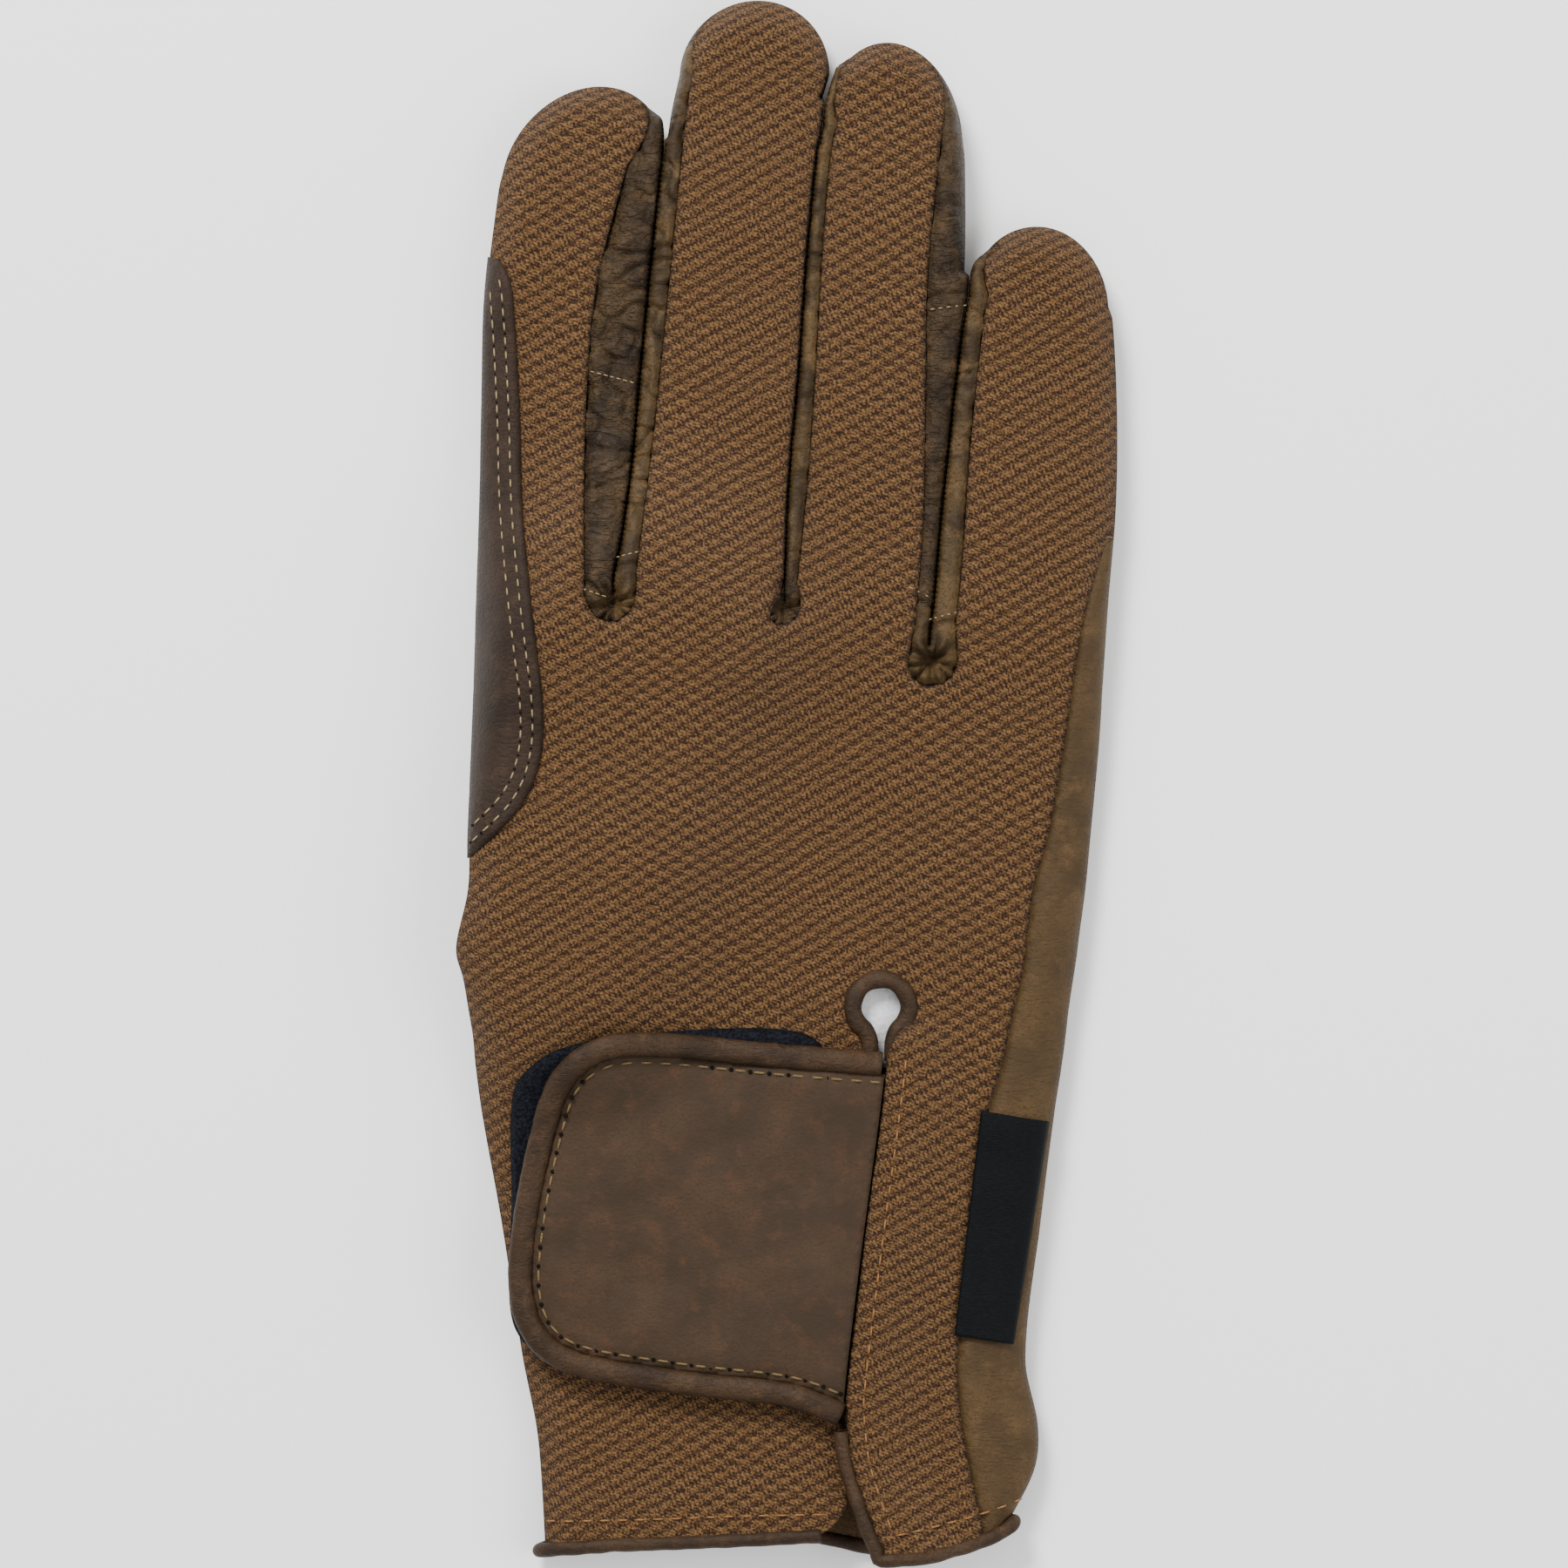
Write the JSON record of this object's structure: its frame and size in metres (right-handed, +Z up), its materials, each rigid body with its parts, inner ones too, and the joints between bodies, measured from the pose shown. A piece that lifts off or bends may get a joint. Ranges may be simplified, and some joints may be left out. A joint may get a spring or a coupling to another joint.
{
  "type": "riding glove",
  "caption": "Right-hand riding glove lying on its palm: knitted back, leather gussets and palm, wrist strap over a loop pad, keyhole and slit, bound hem.",
  "frame": {"origin": "centre of the glove's outer box, at the height of the floor that its palm lies on", "axes": "+Y from the hem towards the fingertips, +X towards the little finger, +Z up out of the back"},
  "size_m": [0.1016, 0.2406, 0.0201],
  "materials": {
    "knit": "ribbed pique knit",
    "palm_leather": "soft matt leather",
    "dark_leather": "smooth satin leather",
    "strap_leather": "grained satin leather",
    "loop": "fine loop pile",
    "label": "woven satin tape"
  },
  "bodies": {
    "root": {"back_panel": "knit", "palm_panel": "palm_leather", "gusset_index_middle": "palm_leather", "gusset_middle_ring": "palm_leather", "gusset_ring_little": "palm_leather", "thumb": "palm_leather", "index_patch": "dark_leather", "closure_strap": "strap_leather", "strap_binding": "dark_leather", "keyhole_binding": "dark_leather", "hem_binding": "dark_leather", "loop_pad": "loop", "woven_label": "label"}
  },
  "joints": []
}
